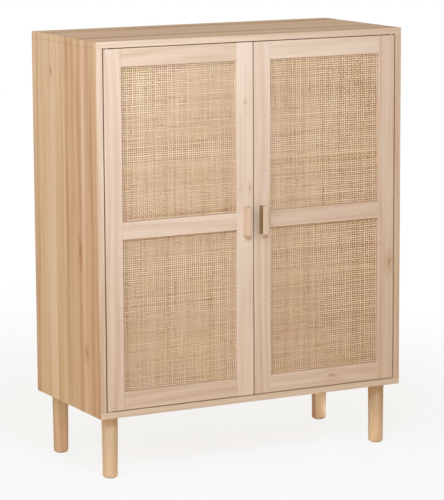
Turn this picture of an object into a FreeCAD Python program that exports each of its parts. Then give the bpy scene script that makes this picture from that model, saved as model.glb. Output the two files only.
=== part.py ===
"""Two-door oak sideboard with woven rattan door panels, standing on four turned legs.

Millimetres. +Z is up, the front faces -Y and +X is to the right. The origin lies on the floor below the
middle of the whole outline, which the handles carry furthest forward.
"""
import FreeCAD, Part
import os

os.makedirs("parts", exist_ok=True)
Vector = FreeCAD.Vector

# Carcass
cabinet_width = 800.0
carcass_depth = 360.0
carcass_height = 866.0
panel_thickness = 15.0
panel_edge_radius = 1.0

# Back panel and its nails
back_thickness = 4.0
back_overlap = 7.0
back_clearance = 0.3
nail_pitch = 150.0
nail_diameter = 1.6
nail_length = 18.0
nail_head_diameter = 5.0
nail_head_thickness = 0.8

# Shelves and their supports
shelf_thickness = 15.0
shelf_side_clearance = 1.0
shelf_back_clearance = 1.0
shelf_front_setback = 34.0
support_pin_diameter = 5.0
support_pin_depth = 8.0
support_head_length = 9.0
support_head_width = 8.0
support_head_height = 6.0
support_inset = 45.0
support_hole_pitch = 32.0
spare_holes_each_way = 2

# Cams, bolts and dowels of the carcass
cam_diameter = 15.0
cam_depth = 12.0
cam_distance = 34.0
cam_inset = 50.0
cam_slot_length = 9.0
cam_slot_width = 1.6
bolt_diameter = 5.0
bolt_head_diameter = 7.0
bolt_head_length = 3.0
bolt_grip = 10.0
carcass_dowel_diameter = 8.0
carcass_dowel_length = 30.0
carcass_dowel_grip = 10.0
carcass_dowel_inset = 95.0

# Legs
leg_height = 148.0
leg_top_diameter = 38.0
leg_foot_diameter = 35.0
leg_foot_radius = 2.5
leg_inset_side = 41.0
leg_inset_front = 41.0
glide_thickness = 2.0
glide_diameter = 26.0
glide_pin_diameter = 3.0
glide_pin_length = 16.0
leg_bolt_diameter = 8.0
leg_bolt_depth = 40.0
insert_diameter = 12.0
insert_length = 12.0

# Door frames
door_gap = 2.0
door_side_gap = 3.0
meeting_gap = 2.6
door_thickness = 18.0
stile_width = 43.0
outer_rail_width = 42.0
middle_rail_width = 40.0
door_edge_radius = 2.0
frame_edge_radius = 0.8
frame_dowel_diameter = 6.0
frame_dowel_depth = 16.0
frame_dowel_cover = 4.0

# Rattan panels and the beads behind them
rattan_recess = 7.0
rattan_thickness = 2.6
rattan_overlap = 8.0
rattan_clearance = 0.5

# Handles
handle_width = 14.0
handle_projection = 20.0
handle_length = 67.0
handle_offset = 19.7
handle_groove_radius = 8.0
handle_groove_setback = 2.0
handle_edge_radius = 1.0
handle_screw_diameter = 3.5
handle_screw_grip = 12.0
handle_screw_spacing = 32.0
handle_screw_head_diameter = 8.0
handle_screw_head_height = 2.4

# Pivot hinges in the top and bottom edges of the doors
pivot_edge_distance = 9.0
pivot_front_distance = 6.0
pivot_pin_diameter = 5.0
pivot_pin_overrun = 1.5
pivot_running_clearance = 0.05
pivot_bore_clearance = 0.6
leaf_length = 36.0
leaf_width = 10.0
leaf_thickness = 2.5
leaf_edge_inset = 2.0
leaf_screw_pitch = 12.0
leaf_screw_start = 16.0
washer_diameter = 8.0

# Small countersunk screws
screw_diameter = 3.0
screw_head_diameter = 5.6
screw_head_height = 1.6
screw_length = 10.0

# Magnetic catch
catch_width = 46.0
catch_depth = 16.0
catch_height = 12.0
catch_tab_length = 10.0
catch_tab_thickness = 2.5
catch_gap = 0.4
magnet_width = 14.0
magnet_height = 7.0
magnet_depth = 5.0
strike_width = 16.0
strike_height = 11.0
strike_thickness = 1.5
strike_offset = 14.0

# Room between pieces that are fixed to each other
fit_clearance = 0.1

# Shared faces and levels
outer_x = cabinet_width / 2
inner_x = outer_x - panel_thickness
back_y = (carcass_depth + handle_projection) / 2
front_y = back_y - carcass_depth
base_z = leg_height
top_z = base_z + carcass_height
floor_z = base_z + panel_thickness
ceiling_z = top_z - panel_thickness
hinge_edge_x = inner_x - door_side_gap
meeting_edge_x = meeting_gap / 2
door_low_z = floor_z + door_gap
door_high_z = ceiling_z - door_gap
door_middle_z = (door_low_z + door_high_z) / 2
door_back_y = front_y + door_thickness
rattan_y = front_y + rattan_recess
bead_y = rattan_y + rattan_thickness
pivot_x = hinge_edge_x - pivot_edge_distance
pivot_y = front_y + pivot_front_distance
strike_x = meeting_edge_x + strike_offset
strike_y = door_back_y + strike_thickness
panel_middle_x = inner_x + panel_thickness / 2
back_front_y = back_y - back_thickness

LEFT = -1
RIGHT = 1
SIDES = {"left": LEFT, "right": RIGHT}
ENDS = {"lower": -1, "upper": 1}
UP = Vector(0, 0, 1)
BACKWARD = Vector(0, 1, 0)
FORWARD = Vector(0, -1, 0)


def save(name, *solids):
    """Write one node, made of one solid or of several separate ones."""
    shape = solids[0] if len(solids) == 1 else Part.makeCompound(solids)
    shape.exportStep("parts/" + name + ".step")


def box(x_pair, y_pair, z_pair):
    """A box between two values on each axis, given in either order."""
    low = Vector(min(x_pair), min(y_pair), min(z_pair))
    high = Vector(max(x_pair), max(y_pair), max(z_pair))
    size = high - low
    return Part.makeBox(size.x, size.y, size.z, low)


def rod(diameter, start, direction, length):
    """A round bar that starts at a point and runs along a direction."""
    return Part.makeCylinder(diameter / 2, length, start, direction)


def rounded(shape, radius, wanted):
    """The shape with some edges rounded, chosen by their middle points."""
    edges = [edge for edge in shape.Edges if wanted(edge.CenterOfMass)]
    return shape.makeFillet(radius, edges)


def near(value, target):
    """Whether two coordinates are the same, rounding apart."""
    return abs(value - target) < 1e-6


def cut_all(shape, tools):
    """The shape with every tool cut out of it, one after the other."""
    for tool in tools:
        shape = shape.cut(tool)
    return shape


def screw(head_point, direction, clearance=0.0):
    """A countersunk screw whose head is flush at a point; a clearance makes it the tool for its hole."""
    head_radius = screw_head_diameter / 2 + clearance
    shank_radius = screw_diameter / 2 + clearance
    head = Part.makeCone(head_radius, shank_radius, screw_head_height + clearance, head_point, direction)
    shank = Part.makeCylinder(shank_radius, screw_length + clearance, head_point, direction)
    return head.fuse(shank).removeSplitter()


def ring(outer_diameter, inner_diameter, start, direction, length):
    """A round bar with a round hole through it."""
    outer = rod(outer_diameter, start, direction, length)
    return outer.cut(rod(inner_diameter, start, direction, length))


# Carcass joints

def carcass_joint_rows(inset):
    """The two depths, front and back, at which a joint repeats."""
    return front_y + inset, back_y - inset


def carcass_joints(inset):
    """Each place where a side panel meets the top or bottom panel: side, end sign, joint face, depth."""
    for side in SIDES.values():
        for end, face_z in ((-1, floor_z), (1, ceiling_z)):
            for depth_y in carcass_joint_rows(inset):
                yield side, end, face_z, depth_y


def cam_centre(side, end, face_z, depth_y):
    """The middle of a cam's open face, on the inside of a side panel."""
    return Vector(side * inner_x, depth_y, face_z - end * cam_distance)


def cam_lock(side, end, face_z, depth_y):
    """A round cam with a cross slot in its face and a bore that takes the bolt's head."""
    face = cam_centre(side, end, face_z, depth_y)
    body = rod(cam_diameter, face, Vector(side, 0, 0), cam_depth)
    bore_start = Vector(side * panel_middle_x, depth_y, face.z - end * bolt_head_length)
    bore = rod(bolt_head_diameter + 2 * fit_clearance, bore_start, Vector(0, 0, end), cam_diameter)
    half_length = cam_slot_length / 2
    half_width = cam_slot_width / 2
    slot_x = (face.x, face.x + side * cam_slot_width)
    along_y = box(slot_x, (depth_y - half_length, depth_y + half_length), (face.z - half_width, face.z + half_width))
    along_z = box(slot_x, (depth_y - half_width, depth_y + half_width), (face.z - half_length, face.z + half_length))
    return cut_all(body, [bore, along_y, along_z])


def cam_bolt(side, end, face_z, depth_y):
    """A bolt that is screwed into the top or bottom panel, with its head inside the cam."""
    cam_z = cam_centre(side, end, face_z, depth_y).z
    start = Vector(side * panel_middle_x, depth_y, cam_z)
    upwards = Vector(0, 0, end)
    shank = rod(bolt_diameter, start, upwards, cam_distance + bolt_grip)
    head = rod(bolt_head_diameter, start - upwards * (bolt_head_length / 2), upwards, bolt_head_length)
    return shank.fuse(head).removeSplitter()


def cam_cuts_in_side(side, end, face_z, depth_y):
    """The cam's pocket and the bolt's bore in a side panel."""
    face = cam_centre(side, end, face_z, depth_y)
    pocket = rod(cam_diameter + 2 * fit_clearance, face, Vector(side, 0, 0), cam_depth + fit_clearance)
    bore_start = Vector(side * panel_middle_x, depth_y, face.z)
    bore = rod(bolt_head_diameter + 2 * fit_clearance, bore_start, Vector(0, 0, end), cam_distance)
    return [pocket, bore]


def cam_cut_in_end(side, end, face_z, depth_y):
    """The bolt's hole in the top or bottom panel."""
    start = Vector(side * panel_middle_x, depth_y, face_z)
    return rod(bolt_diameter + 2 * fit_clearance, start, Vector(0, 0, end), bolt_grip + fit_clearance)


def carcass_dowel(side, end, face_z, depth_y, clearance=0.0):
    """A dowel that crosses the joint of a side panel; a clearance makes it the tool for its holes."""
    inside = carcass_dowel_length - carcass_dowel_grip
    start = Vector(side * panel_middle_x, depth_y, face_z - end * (inside + clearance))
    length = carcass_dowel_length + 2 * clearance
    return rod(carcass_dowel_diameter + 2 * clearance, start, Vector(0, 0, end), length)


# Back panel

def back_panel_outline(clearance):
    """The back panel's box, larger by a clearance where it is the tool for the rebate."""
    reach_x = inner_x + back_overlap + clearance
    z_pair = (floor_z - back_overlap - clearance, ceiling_z + back_overlap + clearance)
    return box((-reach_x, reach_x), (back_front_y, back_y), z_pair)


def spread(first, last, pitch):
    """Evenly spaced values from first to last, about a pitch apart."""
    spaces = max(1, round((last - first) / pitch))
    return [first + (last - first) * step / spaces for step in range(spaces + 1)]


def nail_points():
    """Where the nails go through the back panel, in the middle of its overlap on every side."""
    middle = back_overlap / 2
    reach_x = inner_x + middle
    low_z = floor_z - middle
    high_z = ceiling_z + middle
    points = [(side * reach_x, z) for side in SIDES.values() for z in spread(low_z, high_z, nail_pitch)]
    across = spread(-reach_x, reach_x, nail_pitch)[1:-1]
    points += [(x, z) for z in (low_z, high_z) for x in across]
    return [Vector(x, back_y, z) for x, z in points]


def nail(point, clearance=0.0):
    """A flat-headed nail driven in from behind; a clearance makes it the tool for its hole."""
    head = rod(nail_head_diameter + 2 * clearance, point, FORWARD, nail_head_thickness)
    shank = rod(nail_diameter + 2 * clearance, point, FORWARD, nail_length + clearance)
    return head.fuse(shank).removeSplitter()


# Shelves

def shelf_levels():
    """The undersides of the two shelves, which share the inside height into three equal spaces."""
    clear_height = (ceiling_z - floor_z - 2 * shelf_thickness) / 3
    lower = floor_z + clear_height
    upper = lower + shelf_thickness + clear_height
    return {"lower": lower, "upper": upper}


shelf_front_y = front_y + shelf_front_setback
shelf_back_y = back_front_y - shelf_back_clearance
support_depths = (shelf_front_y + support_inset, shelf_back_y - support_inset)


def shelf(under_z):
    """One loose shelf with eased edges."""
    reach_x = inner_x - shelf_side_clearance
    board = box((-reach_x, reach_x), (shelf_front_y, shelf_back_y), (under_z, under_z + shelf_thickness))
    return rounded(board, panel_edge_radius, lambda middle: near(middle.y, shelf_front_y))


def shelf_support(side, depth_y, under_z):
    """A pin in the side panel with a flat head on which the shelf lies."""
    axis_z = under_z - support_head_height / 2
    inside = Vector(side * (inner_x + support_pin_depth), depth_y, axis_z)
    pin = rod(support_pin_diameter, inside, Vector(-side, 0, 0), support_pin_depth)
    half_width = support_head_width / 2
    head = box((side * inner_x, side * (inner_x - support_head_length)),
               (depth_y - half_width, depth_y + half_width), (under_z - support_head_height, under_z))
    return pin.fuse(head).removeSplitter()


def shelf_support_holes(side):
    """Rows of holes in a side panel, with spare ones above and below each support."""
    holes = []
    for under_z in shelf_levels().values():
        for step in range(-spare_holes_each_way, spare_holes_each_way + 1):
            for depth_y in support_depths:
                hole_z = under_z - support_head_height / 2 + step * support_hole_pitch
                start = Vector(side * inner_x, depth_y, hole_z)
                diameter = support_pin_diameter + 2 * fit_clearance
                holes.append(rod(diameter, start, Vector(side, 0, 0), support_pin_depth + fit_clearance))
    return holes


# Legs

def leg_places():
    """Each leg's name and the place of its axis."""
    reach_x = outer_x - leg_inset_side
    depths = {"front": front_y + leg_inset_front, "rear": back_y - leg_inset_front}
    return {row + "_" + name: (side * reach_x, depth)
            for row, depth in depths.items() for name, side in SIDES.items()}


def leg(x, y):
    """A turned leg that tapers to the foot, with bores for its bolt and its glide."""
    length = leg_height - glide_thickness
    body = Part.makeCone(leg_foot_diameter / 2, leg_top_diameter / 2, length, Vector(x, y, glide_thickness))
    body = rounded(body, leg_foot_radius, lambda middle: near(middle.z, glide_thickness))
    bolt_start = Vector(x, y, leg_height - leg_bolt_depth - fit_clearance)
    bolt_bore = rod(leg_bolt_diameter + 2 * fit_clearance, bolt_start, UP, leg_bolt_depth + fit_clearance)
    pin_bore = rod(glide_pin_diameter + 2 * fit_clearance, Vector(x, y, glide_thickness), UP,
                   glide_pin_length + fit_clearance)
    return cut_all(body, [bolt_bore, pin_bore])


def leg_bolt(x, y):
    """A headless bolt, half in the leg and half in the insert."""
    start = Vector(x, y, leg_height - leg_bolt_depth)
    return rod(leg_bolt_diameter, start, UP, leg_bolt_depth + insert_length)


def leg_insert(x, y):
    """A threaded sleeve in the underside of the bottom panel."""
    return ring(insert_diameter, leg_bolt_diameter + 2 * fit_clearance, Vector(x, y, base_z), UP, insert_length)


def leg_insert_hole(x, y):
    """The hole for a threaded sleeve."""
    return rod(insert_diameter + 2 * fit_clearance, Vector(x, y, base_z), UP, insert_length + fit_clearance)


def leg_glide(x, y):
    """A plastic disc with a pin that is driven into the foot of the leg."""
    disc = rod(glide_diameter, Vector(x, y, 0), UP, glide_thickness)
    pin = rod(glide_pin_diameter, Vector(x, y, 0), UP, glide_thickness + glide_pin_length)
    return disc.fuse(pin).removeSplitter()


# Pivot hinges

def pivot_faces(end):
    """The carcass face and the door edge that a pivot joins, at the lower or upper end."""
    return (ceiling_z, door_high_z) if end > 0 else (floor_z, door_low_z)


def leaf_box(side, near_z, far_z, clearance):
    """The flat part of a plate or leaf; the clearance makes it the tool for its mortise."""
    start_x = hinge_edge_x - leaf_edge_inset + clearance
    end_x = hinge_edge_x - leaf_edge_inset - leaf_length - clearance
    start_y = front_y + leaf_edge_inset - clearance
    end_y = front_y + leaf_edge_inset + leaf_width + clearance
    return box((side * start_x, side * end_x), (start_y, end_y), (near_z, far_z))


def leaf_screw_points(side, face_z):
    """The heads of the two screws of a plate or leaf."""
    middle_y = front_y + leaf_edge_inset + leaf_width / 2
    first_x = hinge_edge_x - leaf_edge_inset - leaf_screw_start
    return [Vector(side * (first_x - step * leaf_screw_pitch), middle_y, face_z) for step in range(2)]


def pivot_plate_cuts(side, end):
    """The mortise and the screw holes of a pivot plate in the top or bottom panel."""
    face_z = pivot_faces(end)[0]
    mortise = leaf_box(side, face_z, face_z + end * leaf_thickness, fit_clearance)
    holes = [screw(point, Vector(0, 0, end), fit_clearance) for point in leaf_screw_points(side, face_z)]
    return [mortise] + holes


def pivot_plate(side, end):
    """The carcass half of a hinge: a plate let in flush, with the pin on which the door turns."""
    face_z = pivot_faces(end)[0]
    plate = leaf_box(side, face_z, face_z + end * leaf_thickness, 0.0)
    holes = [screw(point, Vector(0, 0, end), fit_clearance) for point in leaf_screw_points(side, face_z)]
    pin_start = Vector(side * pivot_x, pivot_y, face_z + end * leaf_thickness)
    pin_length = 2 * leaf_thickness + door_gap + pivot_pin_overrun
    pin = rod(pivot_pin_diameter, pin_start, Vector(0, 0, -end), pin_length)
    return cut_all(plate, holes).fuse(pin).removeSplitter()


def pivot_washer(side, end):
    """The washer that keeps plate and leaf apart and carries the door."""
    face_z = pivot_faces(end)[0]
    start = Vector(side * pivot_x, pivot_y, face_z)
    bore = pivot_pin_diameter + 2 * fit_clearance
    return ring(washer_diameter, bore, start, Vector(0, 0, -end), door_gap)


def pivot_leaf_cuts(side, end):
    """The mortise, screw holes and pin bore of a pivot leaf in the edge of a door."""
    edge_z = pivot_faces(end)[1]
    inwards = Vector(0, 0, -end)
    mortise = leaf_box(side, edge_z, edge_z - end * leaf_thickness, fit_clearance)
    holes = [screw(point, inwards, fit_clearance) for point in leaf_screw_points(side, edge_z)]
    bore_depth = leaf_thickness + pivot_pin_overrun + pivot_bore_clearance
    bore_diameter = pivot_pin_diameter + 2 * pivot_bore_clearance
    bore = rod(bore_diameter, Vector(side * pivot_x, pivot_y, edge_z), inwards, bore_depth)
    return [mortise, bore] + holes


def pivot_leaf(side, end):
    """The door half of a hinge: a leaf let in flush, with a running hole for the pin."""
    edge_z = pivot_faces(end)[1]
    inwards = Vector(0, 0, -end)
    leaf = leaf_box(side, edge_z, edge_z - end * leaf_thickness, 0.0)
    holes = [screw(point, inwards, fit_clearance) for point in leaf_screw_points(side, edge_z)]
    bore_diameter = pivot_pin_diameter + 2 * pivot_running_clearance
    holes.append(rod(bore_diameter, Vector(side * pivot_x, pivot_y, edge_z), inwards, leaf_thickness))
    return cut_all(leaf, holes)


# Magnetic catch

catch_front_y = strike_y + catch_gap
catch_middle_y = catch_front_y + catch_depth / 2
catch_middle_z = ceiling_z - catch_height / 2


def catch_screw_points():
    """The heads of the catch's two screws, in its tabs."""
    reach_x = catch_width / 2 + catch_tab_length / 2
    return [Vector(side * reach_x, catch_middle_y, ceiling_z - catch_tab_thickness) for side in SIDES.values()]


def magnet(side, clearance=0.0):
    """One magnet of the catch; a clearance makes it the tool for its pocket."""
    half_width = magnet_width / 2 + clearance
    half_height = magnet_height / 2 + clearance
    return box((side * strike_x - half_width, side * strike_x + half_width),
               (catch_front_y, catch_front_y + magnet_depth + clearance),
               (catch_middle_z - half_height, catch_middle_z + half_height))


def catch_housing():
    """The catch's plastic body with a tab at each end and a pocket for each magnet."""
    y_pair = (catch_front_y, catch_front_y + catch_depth)
    half_width = catch_width / 2
    reach_x = half_width + catch_tab_length
    body = box((-half_width, half_width), y_pair, (ceiling_z - catch_height, ceiling_z))
    tabs = box((-reach_x, reach_x), y_pair, (ceiling_z - catch_tab_thickness, ceiling_z))
    pockets = [magnet(side, fit_clearance) for side in SIDES.values()]
    holes = [screw(point, UP, fit_clearance) for point in catch_screw_points()]
    return cut_all(body.fuse(tabs).removeSplitter(), pockets + holes)


# Carcass panels

def end_panel(end):
    """The bottom or top panel, which runs under or over the side panels."""
    face_z = ceiling_z if end > 0 else floor_z
    outside_z = face_z + end * panel_thickness
    board = box((-outer_x, outer_x), (front_y, back_y), (face_z, outside_z))
    board = rounded(board, panel_edge_radius, lambda middle: True)
    cuts = [back_panel_outline(back_clearance)]
    cuts += [nail(point, fit_clearance) for point in nail_points()]
    cuts += [cam_cut_in_end(*joint) for joint in carcass_joints(cam_inset) if joint[1] == end]
    dowel_joints = [joint for joint in carcass_joints(carcass_dowel_inset) if joint[1] == end]
    cuts += [carcass_dowel(*joint, fit_clearance) for joint in dowel_joints]
    for side in SIDES.values():
        cuts += pivot_plate_cuts(side, end)
    if end > 0:
        cuts += [screw(point, UP, fit_clearance) for point in catch_screw_points()]
    else:
        cuts += [leg_insert_hole(x, y) for x, y in leg_places().values()]
    return cut_all(board, cuts)


def side_panel(side):
    """One side panel, which stands between the bottom and the top panel."""
    board = box((side * inner_x, side * outer_x), (front_y, back_y), (floor_z, ceiling_z))
    upright = (floor_z + ceiling_z) / 2
    board = rounded(board, panel_edge_radius, lambda middle: near(middle.z, upright))
    cuts = [back_panel_outline(back_clearance)]
    cuts += [nail(point, fit_clearance) for point in nail_points()]
    cuts += shelf_support_holes(side)
    for joint in carcass_joints(cam_inset):
        if joint[0] == side:
            cuts += cam_cuts_in_side(*joint)
    dowel_joints = [joint for joint in carcass_joints(carcass_dowel_inset) if joint[0] == side]
    cuts += [carcass_dowel(*joint, fit_clearance) for joint in dowel_joints]
    return cut_all(board, cuts)


# Doors

openings = {
    "lower": (door_low_z + outer_rail_width, door_middle_z - middle_rail_width / 2),
    "upper": (door_middle_z + middle_rail_width / 2, door_high_z - outer_rail_width),
}
opening_meeting_x = meeting_edge_x + stile_width
opening_hinge_x = hinge_edge_x - stile_width


def behind_opening(side, z_pair, margin, y_pair):
    """A box that stands behind one opening of a door frame and overlaps its edges by a margin."""
    x_pair = (side * (opening_meeting_x - margin), side * (opening_hinge_x + margin))
    return box(x_pair, y_pair, (z_pair[0] - margin, z_pair[1] + margin))


def rattan_seats(side):
    """The rebates behind both openings of a door frame."""
    return [behind_opening(side, z_pair, rattan_overlap, (rattan_y, door_back_y)) for z_pair in openings.values()]


def rail_levels():
    """Each rail's bottom and top."""
    return {
        "bottom_rail": (door_low_z, openings["lower"][0]),
        "middle_rail": (openings["lower"][1], openings["upper"][0]),
        "top_rail": (openings["upper"][1], door_high_z),
    }


def frame_dowel_levels():
    """The heights of the dowels, two in each end of each rail, clear of the rebates and the leaf screws."""
    radius = frame_dowel_diameter / 2
    first = max(leaf_thickness, screw_length) + frame_dowel_cover + radius
    last = outer_rail_width - rattan_overlap - frame_dowel_cover - radius
    middle = middle_rail_width / 2 - rattan_overlap - frame_dowel_cover - radius
    outer = [first, last]
    levels = [door_low_z + offset for offset in outer]
    levels += [door_middle_z - middle, door_middle_z + middle]
    levels += [door_high_z - offset for offset in outer]
    return levels


def frame_dowels(side, clearance=0.0):
    """The dowels across both joints of each rail; a clearance makes them the tools for their holes."""
    middle_y = front_y + door_thickness / 2
    length = 2 * (frame_dowel_depth + clearance)
    dowels = []
    for joint_x in (opening_meeting_x, opening_hinge_x):
        for level in frame_dowel_levels():
            start = Vector(side * joint_x - length / 2, middle_y, level)
            dowels.append(rod(frame_dowel_diameter + 2 * clearance, start, Vector(1, 0, 0), length))
    return dowels


def frame_board(side, edge_x, inner_edge_x, z_pair):
    """A stile as a plain board, with its front edges eased."""
    board = box((side * edge_x, side * inner_edge_x), (front_y, door_back_y), z_pair)
    middle_z = sum(z_pair) / 2

    def upright_at(x):
        return lambda middle: near(middle.y, front_y) and near(middle.x, side * x) and near(middle.z, middle_z)

    board = rounded(board, door_edge_radius, upright_at(edge_x))
    return rounded(board, frame_edge_radius, upright_at(inner_edge_x))


def hinge_stile(side):
    """The stile at the hinges, with the mortises of both leaves in its ends."""
    board = frame_board(side, hinge_edge_x, opening_hinge_x, (door_low_z, door_high_z))
    cuts = rattan_seats(side) + frame_dowels(side, fit_clearance)
    for end in ENDS.values():
        cuts += pivot_leaf_cuts(side, end)
    return cut_all(board, cuts)


def meeting_stile(side):
    """The stile in the middle of the cabinet, which carries the handle and the strike plate."""
    board = frame_board(side, meeting_edge_x, opening_meeting_x, (door_low_z, door_high_z))
    cuts = rattan_seats(side) + frame_dowels(side, fit_clearance)
    cuts += [handle_screw(side, level, fit_clearance) for level in handle_screw_levels()]
    cuts.append(screw(strike_screw_point(side), FORWARD, fit_clearance))
    return cut_all(board, cuts)


def rail(side, z_pair):
    """One rail between the stiles, with its front edges eased."""
    board = box((side * opening_meeting_x, side * opening_hinge_x), (front_y, door_back_y), z_pair)
    middle_x = side * (opening_meeting_x + opening_hinge_x) / 2
    board = rounded(board, frame_edge_radius,
                    lambda middle: near(middle.y, front_y) and near(middle.x, middle_x))
    return cut_all(board, rattan_seats(side) + frame_dowels(side, fit_clearance))


def rattan_panel(side, z_pair):
    """The woven sheet in its rebate, as a plain plate."""
    return behind_opening(side, z_pair, rattan_overlap - rattan_clearance, (rattan_y, bead_y))


def bead_strips(side, z_pair):
    """Four square strips that fill the rebate behind a rattan sheet, flush with the back of the door."""
    y_pair = (bead_y, door_back_y)
    low_z = z_pair[0] - rattan_overlap
    high_z = z_pair[1] + rattan_overlap
    near_x = opening_meeting_x - rattan_overlap
    far_x = opening_hinge_x + rattan_overlap
    across = (side * near_x, side * far_x)
    return [
        box(across, y_pair, (low_z, z_pair[0])),
        box(across, y_pair, (z_pair[1], high_z)),
        box((side * near_x, side * opening_meeting_x), y_pair, z_pair),
        box((side * opening_hinge_x, side * far_x), y_pair, z_pair),
    ]


def handle(side):
    """A wooden pull with a round finger groove along the edge that faces the other door."""
    near_x = meeting_edge_x + handle_offset - handle_width / 2
    far_x = near_x + handle_width
    low_z = door_middle_z - handle_length / 2
    high_z = low_z + handle_length
    tip_y = front_y - handle_projection
    block = box((side * near_x, side * far_x), (front_y, tip_y), (low_z, high_z))
    block = rounded(block, handle_edge_radius, lambda middle: near(middle.y, tip_y))
    groove_y = front_y - handle_groove_setback - handle_groove_radius
    groove = rod(2 * handle_groove_radius, Vector(side * near_x, groove_y, low_z), UP, handle_length)
    bores = [handle_screw(side, level, fit_clearance) for level in handle_screw_levels()]
    return cut_all(block.cut(groove), bores)


def handle_screw_levels():
    """The heights of the two screws of a handle."""
    return [door_middle_z + step * handle_screw_spacing / 2 for step in (-1, 1)]


def handle_screw(side, level, clearance=0.0):
    """A round-headed screw from the back of the door into the handle."""
    x = side * (meeting_edge_x + handle_offset + handle_groove_radius / 2)
    start = Vector(x, door_back_y, level)
    length = door_thickness + handle_screw_grip + clearance
    shank = rod(handle_screw_diameter + 2 * clearance, start, FORWARD, length)
    head = rod(handle_screw_head_diameter, start, BACKWARD, handle_screw_head_height)
    return shank.fuse(head).removeSplitter()


def strike_screw_point(side):
    """The head of the screw that holds the strike plate."""
    return Vector(side * strike_x, strike_y, catch_middle_z)


def strike_plate(side):
    """The steel plate that the magnet holds."""
    half_width = strike_width / 2
    half_height = strike_height / 2
    plate = box((side * strike_x - half_width, side * strike_x + half_width), (door_back_y, strike_y),
                (catch_middle_z - half_height, catch_middle_z + half_height))
    return plate.cut(screw(strike_screw_point(side), FORWARD, fit_clearance))


def door_screws(side):
    """The small screws of both leaves and of the strike plate."""
    screws = [screw(strike_screw_point(side), FORWARD)]
    for end in ENDS.values():
        edge_z = pivot_faces(end)[1]
        screws += [screw(point, Vector(0, 0, -end)) for point in leaf_screw_points(side, edge_z)]
    return screws


def carcass_screws():
    """The small screws of the four pivot plates and of the catch."""
    screws = [screw(point, UP) for point in catch_screw_points()]
    for side in SIDES.values():
        for end in ENDS.values():
            face_z = pivot_faces(end)[0]
            screws += [screw(point, Vector(0, 0, end)) for point in leaf_screw_points(side, face_z)]
    return screws


# Write the carcass
save("top_panel", end_panel(1))
save("bottom_panel", end_panel(-1))
for side_name, side_sign in SIDES.items():
    save(side_name + "_side_panel", side_panel(side_sign))
save("back_panel", cut_all(back_panel_outline(0.0), [nail(point, fit_clearance) for point in nail_points()]))
save("back_panel_nails", *[nail(point) for point in nail_points()])
for level_name, level_z in shelf_levels().items():
    save(level_name + "_shelf", shelf(level_z))
save("shelf_supports", *[shelf_support(side, depth_y, under_z) for side in SIDES.values()
                         for depth_y in support_depths for under_z in shelf_levels().values()])
save("cam_locks", *[cam_lock(*joint) for joint in carcass_joints(cam_inset)])
save("cam_bolts", *[cam_bolt(*joint) for joint in carcass_joints(cam_inset)])
save("carcass_dowels", *[carcass_dowel(*joint) for joint in carcass_joints(carcass_dowel_inset)])
for leg_name, leg_place in leg_places().items():
    save(leg_name + "_leg", leg(*leg_place))
save("leg_bolts", *[leg_bolt(*place) for place in leg_places().values()])
save("leg_inserts", *[leg_insert(*place) for place in leg_places().values()])
save("leg_glides", *[leg_glide(*place) for place in leg_places().values()])
for side_name, side_sign in SIDES.items():
    for end_name, end_sign in ENDS.items():
        save(side_name + "_" + end_name + "_pivot_plate", pivot_plate(side_sign, end_sign))
save("pivot_washers", *[pivot_washer(side, end) for side in SIDES.values() for end in ENDS.values()])
save("catch_housing", catch_housing())
save("catch_magnets", *[magnet(side) for side in SIDES.values()])
save("carcass_screws", *carcass_screws())

# Write both doors
for side_name, side_sign in SIDES.items():
    door = side_name + "_door_"
    save(door + "hinge_stile", hinge_stile(side_sign))
    save(door + "meeting_stile", meeting_stile(side_sign))
    for rail_name, rail_z in rail_levels().items():
        save(door + rail_name, rail(side_sign, rail_z))
    save(door + "dowels", *frame_dowels(side_sign))
    for opening_name, opening_z in openings.items():
        save(door + opening_name + "_rattan", rattan_panel(side_sign, opening_z))
        save(door + opening_name + "_beads", *bead_strips(side_sign, opening_z))
    save(door + "handle", handle(side_sign))
    save(door + "handle_screws", *[handle_screw(side_sign, level) for level in handle_screw_levels()])
    for end_name, end_sign in ENDS.items():
        save(door + end_name + "_pivot_leaf", pivot_leaf(side_sign, end_sign))
    save(door + "strike_plate", strike_plate(side_sign))
    save(door + "screws", *door_screws(side_sign))
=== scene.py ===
"""Looks of a two-door oak sideboard with woven rattan panels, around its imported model.

Metres. +Z is up, the front faces -Y and +X is to the right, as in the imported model.
"""
import itertools
import math

import bpy
import numpy as np
from mathutils import Matrix, Vector


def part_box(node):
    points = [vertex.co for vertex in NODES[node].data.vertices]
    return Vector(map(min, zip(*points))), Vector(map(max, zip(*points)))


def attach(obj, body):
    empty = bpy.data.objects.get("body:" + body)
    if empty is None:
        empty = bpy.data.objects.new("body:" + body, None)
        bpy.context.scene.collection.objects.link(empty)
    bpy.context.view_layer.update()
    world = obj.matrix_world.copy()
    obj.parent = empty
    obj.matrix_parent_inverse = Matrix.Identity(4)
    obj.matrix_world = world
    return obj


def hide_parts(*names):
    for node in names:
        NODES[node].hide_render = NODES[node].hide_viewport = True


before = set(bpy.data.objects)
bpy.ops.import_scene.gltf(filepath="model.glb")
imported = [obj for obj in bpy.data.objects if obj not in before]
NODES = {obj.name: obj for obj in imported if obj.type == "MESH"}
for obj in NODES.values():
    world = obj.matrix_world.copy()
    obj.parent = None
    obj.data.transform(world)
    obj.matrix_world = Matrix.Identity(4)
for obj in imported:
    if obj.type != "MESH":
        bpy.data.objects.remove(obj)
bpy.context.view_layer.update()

SIDES = ("left", "right")
HALVES = ("upper", "lower")
SEED = 20
RANDOM = np.random.default_rng(SEED)


def linear(red, green, blue):
    """A screen colour, 0 to 255 each, as the linear colour that shaders take."""
    share = np.array([red, green, blue]) / 255.0
    curve = np.where(share <= 0.04045, share / 12.92, ((share + 0.055) / 1.055) ** 2.4)
    return (*curve.tolist(), 1.0)


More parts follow.
